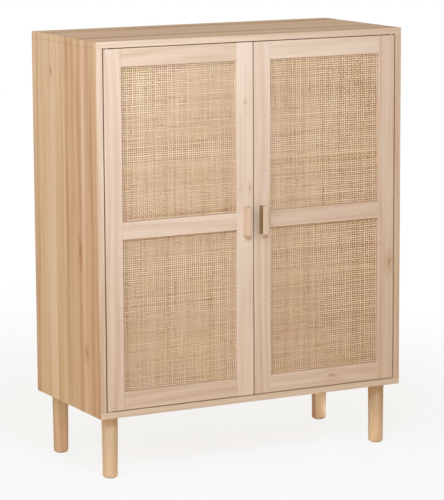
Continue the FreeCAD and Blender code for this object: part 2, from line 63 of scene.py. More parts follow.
# Colours of the finishes
FRAME_PALE = linear(229, 204, 187)
FRAME_DEEP = linear(192, 153, 121)
PANEL_PALE = linear(229, 201, 173)
PANEL_DEEP = linear(187, 137, 93)
LEG_PALE = linear(224, 197, 167)
LEG_DEEP = linear(186, 148, 111)
KNOT_BROWN = linear(146, 106, 72)
BLUSH = (1.02, 0.98, 1.02, 1.0)
STRAW = (0.985, 0.99, 0.89, 1.0)
RATTAN_PALE = linear(253, 223, 192)
RATTAN_DEEP = linear(185, 120, 66)
RATTAN_NODE = linear(150, 110, 76)
# Painted shade inside the pulls' finger grooves
GROOVE_SHADE_BROWN = linear(148, 114, 78)
BOARD_PALE = linear(206, 172, 134)
BOARD_DEEP = linear(164, 126, 90)
BEECH_PALE = linear(226, 190, 150)
BEECH_DEEP = linear(190, 144, 102)
ZINC = linear(176, 178, 180)
STEEL = linear(188, 189, 190)
MAGNET = linear(92, 92, 94)
CATCH_WHITE = linear(226, 224, 218)
GLIDE_BROWN = linear(66, 52, 42)


# Node trees

class Net:
    """Adds nodes to one tree. A value given to a socket is either another socket or a constant."""

    def __init__(self, tree):
        self.tree = tree

    def feed(self, socket, value):
        if isinstance(value, bpy.types.NodeSocket):
            self.tree.links.new(value, socket)
        else:
            socket.default_value = value

    def node(self, kind, inputs=None, **settings):
        made = self.tree.nodes.new(kind)
        for name, value in settings.items():
            setattr(made, name, value)
        for name, value in (inputs or {}).items():
            self.feed(made.inputs[name], value)
        return made

    def math(self, operation, *values, clamp=False):
        made = self.node("ShaderNodeMath", operation=operation, use_clamp=clamp)
        for socket, value in zip(made.inputs, values):
            self.feed(socket, value)
        return made.outputs["Value"]

    def about(self, value, amount, total):
        """Adds a value's departure from one half to a total, times an amount."""
        return self.math("MULTIPLY_ADD", self.math("SUBTRACT", value, 0.5), amount, total)

    def vector(self, operation, *values):
        made = self.node("ShaderNodeVectorMath", operation=operation)
        for socket, value in zip(made.inputs, values):
            self.feed(socket, value)
        return made.outputs["Value" if operation == "LENGTH" else "Vector"]

    def ramp(self, value, low, high):
        """Smooth step of a value from 0 at low to 1 at high."""
        made = self.node("ShaderNodeMapRange", interpolation_type="SMOOTHSTEP")
        for name, given in (("Value", value), ("From Min", low), ("From Max", high)):
            self.feed(made.inputs[name], given)
        return made.outputs["Result"]

    def fall(self, value, low, high):
        """Smooth step of a value from 1 at low to 0 at high."""
        return self.math("SUBTRACT", 1.0, self.ramp(value, low, high))

    def mix(self, factor, first, second):
        """Blend of two colours."""
        made = self.node("ShaderNodeMix", data_type="RGBA")
        self.feed(made.inputs[0], factor)
        self.feed(made.inputs[6], first)
        self.feed(made.inputs[7], second)
        return made.outputs[2]

    def noise(self, vector, scales, detail=2.0):
        """Noise whose grain size differs on each axis, in cells for each metre."""
        stretched = self.vector("MULTIPLY", vector, scales)
        made = self.node("ShaderNodeTexNoise", {"Vector": stretched, "Scale": 1.0, "Detail": detail})
        return made.outputs["Fac"]

    def split(self, vector):
        made = self.node("ShaderNodeSeparateXYZ", {"Vector": vector})
        return made.outputs["X"], made.outputs["Y"], made.outputs["Z"]

    def join(self, x, y, z):
        return self.node("ShaderNodeCombineXYZ", {"X": x, "Y": y, "Z": z}).outputs["Vector"]


def new_group(name, inputs, outputs):
    """An empty shader group with named sockets; returns its net, its inputs and its outputs."""
    kinds = {"value": "NodeSocketFloat", "vector": "NodeSocketVector", "colour": "NodeSocketColor"}
    tree = bpy.data.node_groups.new(name, "ShaderNodeTree")
    for label, kind in inputs:
        tree.interface.new_socket(name=label, in_out="INPUT", socket_type=kinds[kind])
    for label, kind in outputs:
        tree.interface.new_socket(name=label, in_out="OUTPUT", socket_type=kinds[kind])
    net = Net(tree)
    entry = net.node("NodeGroupInput")
    leave = net.node("NodeGroupOutput")
    return net, entry.outputs, leave.inputs


SURFACE = [("Color", "colour"), ("Roughness", "value"), ("Height", "value")]
WHITE = (1.0, 1.0, 1.0, 1.0)

# Where a board was cut from its log, and the log's rings
PITH_SPREAD = 0.09
PITH_DEPTH = 0.03
PITH_DEPTH_SPREAD = 0.05
LOG_LENGTH = 40.0
RINGS_PER_METRE = 60.0
RING_DRIFT = 5.0


def knot_group():
    """A knot: a soft core and a wide halo about a place, drawn out along the grain with a ragged rim."""
    net, given, result = new_group(
        "oak_knot", [("Vector", "vector"), ("Place", "vector"), ("Radius", "value")],
        [("Core", "value"), ("Halo", "value")])
    offset = net.vector("SUBTRACT", given["Vector"], given["Place"])
    drawn_out = net.vector("MULTIPLY", offset, (1.0, 0.3, 0.5))
    distance = net.math("DIVIDE", net.vector("LENGTH", drawn_out), given["Radius"])
    ragged = net.noise(given["Vector"], (190.0, 190.0, 90.0))
    distance = net.about(ragged, 1.3, distance)
    net.feed(result["Core"], net.fall(distance, 0.2, 1.1))
    net.feed(result["Halo"], net.fall(distance, 0.6, 4.0))
    return net.tree


def oak_group():
    """Planed oak: broad streaks and clouds, faint growth rings about a pith, fine fibres, pores and knots.

    The vector is in metres with the grain along Z, and staves lie side by side along X. The log is a number
    that gives each board its own pith, tone and streaks.
    """
    net, given, result = new_group(
        "oak_grain",
        [("Vector", "vector"), ("Pale", "colour"), ("Deep", "colour"), ("Log", "value"), ("Tone", "value"),
         ("Stave Width", "value"), ("Stave Contrast", "value"), ("Figure", "value"), ("Streak", "value"),
         ("Hue Spread", "value"), ("Knot Core", "value"), ("Knot Halo", "value")], SURFACE)
    across, deep, along = net.split(given["Vector"])
    number = net.math("ROUND", net.math("DIVIDE", across, given["Stave Width"]))
    in_stave = net.math("SUBTRACT", across, net.math("MULTIPLY", number, given["Stave Width"]))
    seed = net.math("ADD", number, given["Log"])
    draw = net.node("ShaderNodeTexWhiteNoise", {"W": seed}, noise_dimensions="1D")
    first, second, third = net.split(draw.outputs["Color"])
    from_pith = net.about(first, PITH_SPREAD, in_stave)
    below_pith = net.math("ADD", net.math("MULTIPLY_ADD", second, PITH_DEPTH_SPREAD, PITH_DEPTH), deep)
    grain = net.join(from_pith, below_pith, net.math("MULTIPLY_ADD", third, LOG_LENGTH, along))

    drift = net.noise(grain, (6.0, 6.0, 1.0))
    radius = net.vector("LENGTH", net.join(from_pith, below_pith, 0.0))
    phase = net.math("MULTIPLY_ADD", radius, RINGS_PER_METRE, net.math("MULTIPLY", drift, RING_DRIFT))
    phase = net.math("MULTIPLY_ADD", given["Knot Halo"], 0.5, phase)
    ring = net.ramp(net.math("PINGPONG", phase, 0.5), 0.05, 0.5)
    streak = net.noise(grain, (26.0, 26.0, 0.6))
    narrow_streak = net.noise(grain, (260.0, 260.0, 2.4))
    fibre = net.noise(grain, (760.0, 760.0, 10.0))
    cloud = net.noise(grain, (10.0, 10.0, 2.0))
    pore = net.ramp(net.noise(grain, (1500.0, 1500.0, 70.0), 1.0), 0.60, 0.74)

    depth = net.math("MULTIPLY_ADD", given["Knot Halo"], 0.16, given["Tone"])
    depth = net.math("MULTIPLY_ADD", net.math("SUBTRACT", ring, 0.5), given["Figure"], depth)
    depth = net.about(first, given["Stave Contrast"], depth)
    depth = net.about(streak, given["Streak"], depth)
    depth = net.about(narrow_streak, 0.60, depth)
    depth = net.about(fibre, 0.42, depth)
    depth = net.about(cloud, 0.25, depth)
    depth = net.math("MULTIPLY_ADD", pore, 0.20, depth, clamp=True)
    wood = net.mix(depth, given["Pale"], given["Deep"])
    hue = net.ramp(net.noise(grain, (18.0, 18.0, 0.6)), 0.36, 0.64)
    tint = net.mix(given["Hue Spread"], WHITE, net.mix(hue, BLUSH, STRAW))
    wood = net.vector("MULTIPLY", wood, tint)
    net.feed(result["Color"], net.mix(net.math("MULTIPLY", given["Knot Core"], 0.58), wood, KNOT_BROWN))

    rough = net.math("MULTIPLY_ADD", fibre, 0.16, 0.48)
    net.feed(result["Roughness"], net.math("MULTIPLY_ADD", pore, 0.10, rough))
    height = net.math("MULTIPLY_ADD", ring, -0.2, net.math("MULTIPLY", fibre, 0.4))
    net.feed(result["Height"], net.math("MULTIPLY_ADD", pore, -0.7, height))
    return net.tree


# How far a strand's tone moves its pattern along it, and half the distance between growth nodes
STRAND_SHIFT = 37.0
NODE_SHIFT = 9.0
NODE_HALF_SPACING = 0.19


def rattan_group():
    """Split rattan: fibres along the strand, a tone for each strand, painted shade along both edges of the
    strand, slubs and growth nodes.
    """
    net, given, result = new_group(
        "rattan_fibre",
        [("Vector", "vector"), ("Across And Along", "vector"), ("Strand Tone", "value")], SURFACE)
    across, along, _ = net.split(given["Across And Along"])
    shift = net.math("MULTIPLY", given["Strand Tone"], STRAND_SHIFT)
    place = net.join(across, net.math("ADD", along, shift), shift)
    fibre = net.noise(place, (9.0, 45.0, 1.0))
    patch = net.noise(place, (0.5, 13.0, 1.0), 1.0)
    slub = net.ramp(net.noise(place, (0.4, 26.0, 1.0), 1.0), 0.60, 0.74)
    node_place = net.math("MULTIPLY_ADD", given["Strand Tone"], NODE_SHIFT, along)
    node = net.fall(net.math("PINGPONG", node_place, NODE_HALF_SPACING), 0.0006, 0.0026)
    # Painted shade: the strand's colour deepens towards both of its edges
    rim = net.ramp(net.math("ABSOLUTE", across), 0.5, 1.0)
    depth = net.math("MULTIPLY_ADD", rim, 0.3, given["Strand Tone"])
    depth = net.about(fibre, 0.5, depth)
    depth = net.math("MULTIPLY_ADD", slub, 0.45, depth)
    depth = net.math("MULTIPLY_ADD", net.math("SUBTRACT", patch, 0.5), 0.7, depth, clamp=True)
    cane = net.mix(depth, RATTAN_PALE, RATTAN_DEEP)
    hue = net.ramp(net.noise(given["Vector"], (12.0, 12.0, 12.0)), 0.35, 0.65)
    tint = net.mix(0.5, WHITE, net.mix(hue, BLUSH, STRAW))
    cane = net.vector("MULTIPLY", cane, tint)
    net.feed(result["Color"], net.mix(net.math("MULTIPLY", node, 0.45), cane, RATTAN_NODE))
    net.feed(result["Roughness"], net.math("MULTIPLY_ADD", fibre, 0.20, 0.38))
    net.feed(result["Height"], fibre)
    return net.tree


def board_group():
    """Pressed fibre board or raw wood: short tangled fibres over a mottled ground."""
    net, given, result = new_group(
        "fibre_board",
        [("Vector", "vector"), ("Pale", "colour"), ("Deep", "colour"), ("Fibre Scale", "vector")], SURFACE)
    fibre = net.noise(given["Vector"], given["Fibre Scale"], 4.0)
    mottle = net.noise(given["Vector"], (16.0, 16.0, 16.0), 3.0)
    depth = net.about(fibre, 1.1, 0.45)
    depth = net.math("MULTIPLY_ADD", net.math("SUBTRACT", mottle, 0.5), 0.7, depth, clamp=True)
    net.feed(result["Color"], net.mix(depth, given["Pale"], given["Deep"]))
    net.feed(result["Roughness"], net.math("MULTIPLY_ADD", fibre, 0.2, 0.6))
    net.feed(result["Height"], fibre)
    return net.tree


def metal_group():
    """Plated metal: fine brush lines and a soft cloud of tarnish."""
    net, given, result = new_group("plated_metal", [("Vector", "vector"), ("Tint", "colour")], SURFACE)
    brush = net.noise(given["Vector"], (90.0, 2600.0, 2600.0))
    dull = net.ramp(net.noise(given["Vector"], (170.0, 170.0, 170.0), 3.0), 0.45, 0.80)
    shade = net.vector("SCALE", given["Tint"])
    net.feed(shade.node.inputs["Scale"], net.math("MULTIPLY_ADD", dull, -0.28, 1.0))
    net.feed(result["Color"], shade)
    rough = net.math("MULTIPLY_ADD", brush, 0.18, 0.22)
    net.feed(result["Roughness"], net.math("MULTIPLY_ADD", dull, 0.18, rough))
    net.feed(result["Height"], brush)
    return net.tree


def plastic_group():
    """Moulded plastic: a fine pebbled texture with slight clouds."""
    net, given, result = new_group("moulded_plastic", [("Vector", "vector"), ("Tint", "colour")], SURFACE)
    pebble = net.noise(given["Vector"], (2400.0, 2400.0, 2400.0))
    cloud = net.noise(given["Vector"], (90.0, 90.0, 90.0))
    shade = net.vector("SCALE", given["Tint"])
    net.feed(shade.node.inputs["Scale"], net.math("MULTIPLY_ADD", cloud, 0.16, 0.90))
    net.feed(result["Color"], shade)
    net.feed(result["Roughness"], net.math("MULTIPLY_ADD", pebble, 0.18, 0.46))
    net.feed(result["Height"], pebble)
    return net.tree


def faced_board_group(oak, board):
    """A fibre board with an oak face: the oak shows where the face is 1, the bare board where it is 0."""
    net, given, result = new_group(
        "faced_board", [("Grain Vector", "vector"), ("Vector", "vector"), ("Face", "value")], SURFACE)
    veneer_look = {"Vector": given["Grain Vector"], "Pale": PANEL_PALE, "Deep": PANEL_DEEP, "Log": 5.0,
                   "Tone": 0.36, "Stave Width": 0.13, "Stave Contrast": 0.2, "Figure": 0.16,
                   "Streak": 1.0, "Hue Spread": 0.7}
    board_look = {"Vector": given["Vector"], "Pale": BOARD_PALE, "Deep": BOARD_DEEP,
                  "Fibre Scale": (420.0, 420.0, 420.0)}
    veneer = net.node("ShaderNodeGroup", veneer_look, node_tree=oak)
    bare = net.node("ShaderNodeGroup", board_look, node_tree=board)
    for label, _ in SURFACE:
        net.feed(result[label], net.mix(given["Face"], bare.outputs[label], veneer.outputs[label]))
    return net.tree


KNOT = knot_group()
OAK = oak_group()
RATTAN = rattan_group()
BOARD = board_group()
METAL = metal_group()
PLASTIC = plastic_group()
FACED_BOARD = faced_board_group(OAK, BOARD)


# Materials

def finish_material(name, group, values, relief, metallic=0.0, specular=0.5):
    """A material whose colour, roughness and relief come from one group; values set the group's sockets.

    A value that is a function is called with the net and gives the socket to link.
    """
    material = bpy.data.materials.new(name)
    material.use_nodes = True
    net = Net(material.node_tree)
    shader = material.node_tree.nodes["Principled BSDF"]
    given = {label: value(net) if callable(value) else value for label, value in values.items()}
    placed = net.node("ShaderNodeGroup", given, node_tree=group)
    net.feed(shader.inputs["Base Color"], placed.outputs["Color"])
    net.feed(shader.inputs["Roughness"], placed.outputs["Roughness"])
    bump = net.node("ShaderNodeBump", {"Height": placed.outputs["Height"], "Distance": relief})
    bump.inputs["Strength"].default_value = 1.0
    net.feed(shader.inputs["Normal"], bump.outputs["Normal"])
    shader.inputs["Metallic"].default_value = metallic
    shader.inputs["Specular IOR Level"].default_value = specular
    return material


def object_vector(net):
    """The place of a point in the row frame, in metres."""
    return net.node("ShaderNodeTexCoord").outputs["Object"]


def tinted(name, group, tint, relief, metallic=0.0):
    """A finish of one tint that needs only the place of a point."""
    return finish_material(name, group, {"Vector": object_vector, "Tint": tint}, relief, metallic)


def grain_vector(order, centre):
    """Places turned so that the grain runs along Z; order names the axis for across, depth and along."""
    def build(net):
        moved = net.vector("SUBTRACT", object_vector(net), centre)
        axes = dict(zip("xyz", net.split(moved)))
        return net.join(*[axes[letter] for letter in order])
    return build


def knot_mask(output, knots, order, centre):
    """The strongest core or halo of a board's knots; each knot has a place, a radius and a strength."""
    def build(net):
        vector = grain_vector(order, centre)(net)
        total = 0.0
        for place, radius, strength in knots:
            offset = Vector(place) - centre
            turned = tuple(offset["xyz".index(letter)] for letter in order)
            inputs = {"Vector": vector, "Place": turned, "Radius": radius}
            knot = net.node("ShaderNodeGroup", inputs, node_tree=KNOT)
            total = net.math("MAXIMUM", net.math("MULTIPLY", knot.outputs[output], strength), total)
        return total
    return build


# A finish that changes at an edge fades between these two distances from it
FADE_START = 0.0002
FADE_END = 0.0006


def banded(plain, band, front_y):
    """A board's colour or value, with that of an edge band on its front edge."""
    def build(net):
        on_edge = net.fall(net.split(object_vector(net))[1], front_y + FADE_START, front_y + FADE_END)
        if isinstance(plain, tuple):
            return net.mix(on_edge, plain, band)
        return net.math("MULTIPLY_ADD", on_edge, band - plain, plain)
    return build


def end_vector(plain, end_x):
    """A board's grain vector, with the side panels' upright grain carried on over its two ends."""
    def build(net):
        x, y, z = net.split(object_vector(net))
        on_end = net.ramp(net.math("ABSOLUTE", x), end_x - FADE_END, end_x - FADE_START)
        across = net.math("SUBTRACT", y, SIDE_MIDDLE.y)
        deep = net.math("MULTIPLY_ADD", net.math("SIGN", x), -SIDE_MIDDLE.x, x)
        along = net.math("SUBTRACT", z, SIDE_MIDDLE.z)
        return net.mix(on_end, plain(net), net.join(across, deep, along))
    return build


def end_log(plain, end_x):
    """A board's log, with the log of the nearer side panel on its two ends."""
    def build(net):
        x = net.split(object_vector(net))[0]
        on_left = net.math("LESS_THAN", x, FADE_END - end_x)
        on_right = net.math("GREATER_THAN", x, end_x - FADE_END)
        total = net.math("MULTIPLY_ADD", on_left, SIDE_LOGS["left"] - plain, plain)
        return net.math("MULTIPLY_ADD", on_right, SIDE_LOGS["right"] - plain, total)
    return build


# Looks of the oak; a stave wider than its member makes the member one piece
PANEL_LOOK = {"Pale": PANEL_PALE, "Deep": PANEL_DEEP, "Tone": 0.36, "Stave Width": 0.105,
              "Stave Contrast": 0.26, "Figure": 0.16, "Streak": 2.1, "Hue Spread": 0.8}
FRAME_LOOK = {"Pale": FRAME_PALE, "Deep": FRAME_DEEP, "Tone": 0.36, "Stave Width": 0.40,
              "Stave Contrast": 0.05, "Figure": 0.24, "Streak": 0.5, "Hue Spread": 0.25}
LEG_LOOK = {"Pale": LEG_PALE, "Deep": LEG_DEEP, "Tone": 0.36, "Stave Width": 0.40,
            "Stave Contrast": 0.10, "Figure": 0.30, "Streak": 0.9, "Hue Spread": 0.5}
LOG_STEP = 17.0
OAK_RELIEF = 0.00008
OAK_SPECULAR = 0.25
LOGS = itertools.count(1)
SIDE_LOGS = {side: LOG_STEP * next(LOGS) for side in SIDES}
SIDE_MIDDLE = sum(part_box("right_side_panel"), Vector()) / 2


def oak_material(node, order, look, knots=(), edge_band=False, log=None):
    """Oak for one node, from a log of its own, with its staves counted from the middle of its box."""
    low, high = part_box(node)
    centre = (low + high) / 2
    values = dict(look)
    values["Vector"] = grain_vector(order, centre)
    values["Log"] = LOG_STEP * next(LOGS) if log is None else log
    if knots:
        values["Knot Core"] = knot_mask("Core", knots, order, centre)
        values["Knot Halo"] = knot_mask("Halo", knots, order, centre)
    if edge_band and order[2] == "x":
        values["Vector"] = end_vector(values["Vector"], high.x)
        values["Log"] = end_log(values["Log"], high.x)
    if edge_band:
        for label in ("Pale", "Deep", "Streak", "Hue Spread"):
            values[label] = banded(look[label], FRAME_LOOK[label], low.y)
    return finish_material("oak_" + node, OAK, values, OAK_RELIEF, specular=OAK_SPECULAR)


def dress(node, material):
    """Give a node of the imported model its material."""
    NODES[node].material_slots[0].material = material


# Oak members
SIDE_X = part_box("left_side_panel")[0].x
FRONT_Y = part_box("left_side_panel")[0].y
# Place, radius and strength of each board's knots
KNOTS = {
    "left_side_panel": [
        ((SIDE_X, 0.082, 0.929), 0.0075, 1.0),
        ((SIDE_X, -0.069, 0.522), 0.0075, 1.0),
        ((SIDE_X, -0.098, 0.293), 0.005, 0.9),
    ],
    "left_door_meeting_stile": [
        ((-0.022, FRONT_Y, 0.859), 0.006, 0.55),
        ((-0.036, FRONT_Y, 0.659), 0.0035, 0.3),
        ((-0.010, FRONT_Y, 0.657), 0.0035, 0.5),
    ],
    "right_door_hinge_stile": [
        ((0.370, FRONT_Y, 0.450), 0.006, 0.7),
        ((0.347, FRONT_Y, 0.498), 0.004, 0.5),
    ],
    "right_door_bottom_rail": [
        ((0.211, FRONT_Y, 0.189), 0.0065, 0.7),
    ],
}

# How deep the tone of each door member is, from 0 for pale to 1 for deep
DOOR_TONES = {
    "left": {"hinge_stile": 0.42, "meeting_stile": 0.04, "top_rail": 0.46,
             "middle_rail": 0.27, "bottom_rail": 0.43},
    "right": {"hinge_stile": 0.40, "meeting_stile": 0.34, "top_rail": 0.17,
              "middle_rail": 0.48, "bottom_rail": 0.27},
}

for node in ("top_panel", "bottom_panel", "upper_shelf", "lower_shelf"):
    dress(node, oak_material(node, "yzx", PANEL_LOOK, edge_band=True))
for side in SIDES:
    node = side + "_side_panel"
    dress(node, oak_material(node, "yxz", PANEL_LOOK, KNOTS.get(node, ()), True, SIDE_LOGS[side]))
    for member, tone in DOOR_TONES[side].items():
        node = side + "_door_" + member
        order = "xyz" if member.endswith("stile") else "zyx"
        dress(node, oak_material(node, order, {**FRAME_LOOK, "Tone": tone}, KNOTS.get(node, ())))
    for half in HALVES:
        node = side + "_door_" + half + "_beads"
        dress(node, oak_material(node, "xyz", FRAME_LOOK))

# Back board, dowels and hardware
BACK_LOW, BACK_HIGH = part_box("back_panel")
BACK_MIDDLE = (BACK_LOW + BACK_HIGH) / 2


def inner_face(net):
    """One on the half of the back board that faces the inside, zero on the rear half."""
    return net.math("LESS_THAN", net.split(object_vector(net))[1], BACK_MIDDLE.y)


back_finish = finish_material(
    "faced_back_board", FACED_BOARD,
    {"Grain Vector": grain_vector("xyz", BACK_MIDDLE), "Vector": object_vector, "Face": inner_face},
    relief=0.0001)
beech_finish = finish_material(
    "raw_beech", BOARD,
    {"Vector": object_vector, "Pale": BEECH_PALE, "Deep": BEECH_DEEP, "Fibre Scale": (900.0, 900.0, 900.0)},
    relief=0.0001)
zinc_finish = tinted("die_cast_zinc", METAL, ZINC, relief=0.00004, metallic=1.0)
steel_finish = tinted("plated_steel", METAL, STEEL, relief=0.00003, metallic=1.0)
magnet_finish = tinted("magnet_steel", METAL, MAGNET, relief=0.00003, metallic=1.0)
catch_finish = tinted("catch_white", PLASTIC, CATCH_WHITE, relief=0.00004)
glide_finish = tinted("glide_brown", PLASTIC, GLIDE_BROWN, relief=0.00005)

dress("back_panel", back_finish)
dress("carcass_dowels", beech_finish)
for node in ("cam_locks", "cam_bolts", "leg_inserts"):
    dress(node, zinc_finish)
for node in ("back_panel_nails", "leg_bolts", "carcass_screws", "shelf_supports", "pivot_washers"):
    dress(node, steel_finish)
dress("catch_magnets", magnet_finish)
dress("catch_housing", catch_finish)
dress("leg_glides", glide_finish)
for side in SIDES:
    dress(side + "_door_dowels", beech_finish)
    for piece in ("strike_plate", "screws", "handle_screws", "upper_pivot_leaf", "lower_pivot_leaf"):
        dress(side + "_door_" + piece, steel_finish)
    for half in HALVES:
        dress(side + "_" + half + "_pivot_plate", steel_finish)


# Legs and handles
CREASE = math.radians(40.0)


def lofted(name, loops, material, flipped=False):
    """A closed skin over equal loops of points: quads from loop to loop and a flat face on each end."""
    count, around = loops.shape[:2]
    start = np.arange(count - 1)[:, None] * around
    here = np.arange(around)[None, :]
    after = (here + 1) % around
    quads = np.stack([start + here, start + after, start + around + after, start + around + here], axis=-1)
    ends = np.stack([np.arange(around)[::-1], (count - 1) * around + np.arange(around)])
    step = -1 if flipped else 1
    mesh = bpy.data.meshes.new(name)
    mesh.from_pydata(loops.reshape(-1, 3), [], [*quads.reshape(-1, 4)[:, ::step], *ends[:, ::step]])
    mesh.polygons.foreach_set("use_smooth", np.ones(len(mesh.polygons), bool))
    mesh.set_sharp_from_angle(angle=CREASE)
    mesh.materials.append(material)
    piece = bpy.data.objects.new(name, mesh)
    bpy.context.scene.collection.objects.link(piece)
    return piece


LEG_FOOT_RADIUS = 0.0175
LEG_FOOT_ROUND = 0.0025
LEG_SEGMENTS = 96
QUARTER = np.linspace(0, math.pi / 2, 7)


def turned_leg(name, node, material):
    """A turned leg: circles about its axis, from a quarter round at the foot in a taper to the top."""
    low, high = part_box(node)
    radii = np.append(LEG_FOOT_RADIUS - LEG_FOOT_ROUND * (1 - np.sin(QUARTER)), (high.x - low.x) / 2)
    heights = np.append(low.z + LEG_FOOT_ROUND * (1 - np.cos(QUARTER)), high.z)
    angles = np.linspace(0, 2 * math.pi, LEG_SEGMENTS, endpoint=False)
    loops = np.empty((len(radii), LEG_SEGMENTS, 3))
    loops[..., 0] = (low.x + high.x) / 2 + radii[:, None] * np.cos(angles)
    loops[..., 1] = (low.y + high.y) / 2 + radii[:, None] * np.sin(angles)
    loops[..., 2] = heights[:, None]
    return lofted(name, loops, material)


GROOVE_RADIUS = 0.008
GROOVE_SETBACK = 0.002
GROOVE_FADE = 0.0004
HANDLE_ROUND = 0.0015


def arc(middle, radius, start, end, count):
    """Points on an arc about a middle, from one angle to another in degrees."""
    angles = np.radians(np.linspace(start, end, count))
    return np.array(middle) + radius * np.stack([np.cos(angles), np.sin(angles)], axis=1)


def grooved_handle(name, node, material, sign):
    """A finger pull: its section carried upright, with a round groove in the side towards the middle.

    The section runs from the stile along the grooved side, round the front and back along the outer side.
    At both ends the front is drawn in along a quarter circle, so that all the front edges are round.
    """
    low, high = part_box(node)
    width = high.x - low.x
    reach = high.y - low.y
    section = np.concatenate([
        [(0.0, 0.0)],
        arc((0.0, GROOVE_SETBACK + GROOVE_RADIUS), GROOVE_RADIUS, -90, 90, 33),
        arc((HANDLE_ROUND, reach - HANDLE_ROUND), HANDLE_ROUND, 180, 90, 7),
        arc((width - HANDLE_ROUND, reach - HANDLE_ROUND), HANDLE_ROUND, 90, 0, 7),
        [(width, 0.0)]])
    rise = HANDLE_ROUND * (1 - np.cos(QUARTER))
    heights = np.concatenate([low.z + rise, high.z - rise[::-1]])
    drawn_in = HANDLE_ROUND * (1 - np.sin(QUARTER))
    front = reach - np.concatenate([drawn_in, drawn_in[::-1]])
    inner_x = low.x if sign > 0 else high.x
    loops = np.empty((len(heights), len(section), 3))
    loops[..., 0] = inner_x + sign * section[:, 0]
    loops[..., 1] = high.y - np.minimum(section[:, 1], front[:, None])
    loops[..., 2] = heights[:, None]
    return lofted(name, loops, material, flipped=sign < 0)


def painted_groove_shade(plain, node, sign):
    """A pull's colour, with painted shade inside its groove, where both colours turn dark brown."""
    low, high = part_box(node)
    middle = Vector((low.x if sign > 0 else high.x, high.y - GROOVE_SETBACK - GROOVE_RADIUS, 0.0))

    def build(net):
        offset = net.vector("MULTIPLY", net.vector("SUBTRACT", object_vector(net), middle), (1.0, 1.0, 0.0))
        distance = net.vector("LENGTH", offset)
        # Painted shade: the inside of the groove turns dark brown
        inside = net.fall(distance, GROOVE_RADIUS + GROOVE_FADE / 4, GROOVE_RADIUS + GROOVE_FADE)
        return net.mix(inside, plain, GROOVE_SHADE_BROWN)
    return build


for side, sign in (("left", -1), ("right", 1)):
    node = side + "_door_handle"
    look = dict(FRAME_LOOK)
    # Both wood colours of each pull carry the painted shade in its groove
    look["Pale"] = painted_groove_shade(FRAME_PALE, node, sign)
    look["Deep"] = painted_groove_shade(FRAME_DEEP, node, sign)
    pull = grooved_handle(side + "_pull", node, oak_material(node, "xyz", look), sign)
    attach(pull, side + "_door")
    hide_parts(node)
    for row in ("front", "rear"):
        node = row + "_" + side + "_leg"
        leg = turned_leg(row + "_" + side + "_turned_leg", node, oak_material(node, "xyz", LEG_LOOK))
        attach(leg, "carcass")
        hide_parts(node)


# Woven rattan
MESH_PITCH = 0.0052
STRAND_WIDTH = 0.0027
STRAND_WIDTH_SPREAD = 0.15
STRAND_HALF_THICKNESS = 0.00048
WEAVE_HALF_DEPTH = 0.00058
STRAND_WANDER = 0.00022
LONG_WANDER = 41.0
SHORT_WANDER = 97.0
SHORT_WANDER_SHARE = 0.6
STRAND_TONE = 0.16
STRAND_TONE_SPREAD = 0.11
STRAND_TONE_WAVE = 0.06
STRAND_TONE_WAVES_PER_METRE = 11.0
# Strand section as shares of half width and half thickness, anticlockwise
SECTION = np.array([(-1.0, 0.0), (-0.62, -1.0), (0.62, -1.0), (1.0, 0.0), (0.62, 1.0), (-0.62, 1.0)])
RING = len(SECTION)


def strand_points(places, crossings, flip):
    """Strands of one direction as an array of strand, ring, section point and (across, depth, along).

    Each strand runs straight along the crossings and lies in front of one and behind the next. Two rings
    sit at every crossing, a quarter pitch before and after it, so that the strand is flat there and
    slants in between. Its width and its wander, two sine waves, are drawn at random for each strand.
    """
    count = len(places)
    along = np.stack([crossings - MESH_PITCH / 4, crossings + MESH_PITCH / 4], axis=1).ravel()
    turn = np.arange(len(crossings)).repeat(2)[None, :] + np.arange(count)[:, None] + flip
    depth = np.where(turn % 2 == 0, -WEAVE_HALF_DEPTH, WEAVE_HALF_DEPTH)
    half_width = STRAND_WIDTH / 2 * (1 + STRAND_WIDTH_SPREAD * RANDOM.uniform(-1, 1, (count, 1)))
    start = RANDOM.uniform(0, 2 * math.pi, (2, count, 1))
    long_wave = np.sin(along * LONG_WANDER + start[0])
    short_wave = np.sin(along * SHORT_WANDER + start[1])
    middle = places[:, None] + STRAND_WANDER * (long_wave + SHORT_WANDER_SHARE * short_wave)
    points = np.empty((count, len(along), RING, 3))
    points[..., 0] = middle[..., None] + half_width[..., None] * SECTION[:, 0]
    points[..., 1] = depth[..., None] + STRAND_HALF_THICKNESS * SECTION[:, 1]
    points[..., 2] = along[None, :, None]
    return points


def strand_faces(count, rings, first):
    """Quads round and along every strand, and two quads that close each end."""
    start = first + (np.arange(count) * rings * RING)[:, None, None]
    ring = (np.arange(rings - 1) * RING)[None, :, None]
    here = np.arange(RING)[None, None, :]
    after = (here + 1) % RING
    sides = np.stack(np.broadcast_arrays(start + ring + here, start + ring + after,
                                         start + ring + RING + after, start + ring + RING + here), axis=-1)
    bottom = start[:, 0] + np.array([[3, 2, 1, 0], [5, 4, 3, 0]]).reshape(1, 8)
    top = start[:, 0] + (rings - 1) * RING + np.array([[0, 1, 2, 3], [0, 3, 4, 5]]).reshape(1, 8)
    return np.concatenate([sides.reshape(-1, 4), bottom.reshape(-1, 4), top.reshape(-1, 4)])


def strand_tones(places):
    """A tone for each strand: a slow wave over the panel and a small draw of its own."""
    wave = np.sin(places * STRAND_TONE_WAVES_PER_METRE * 2 * math.pi + RANDOM.uniform(0, 2 * math.pi))
    own = RANDOM.standard_normal(len(places))
    return (STRAND_TONE + STRAND_TONE_WAVE * wave + STRAND_TONE_SPREAD * own).clip(0, 1)


def spaced(low, high):
    """Middles of as many whole pitches as fit between two ends, centred between them."""
    count = int((high - low) / MESH_PITCH)
    return (low + high) / 2 + (np.arange(count) - (count - 1) / 2) * MESH_PITCH


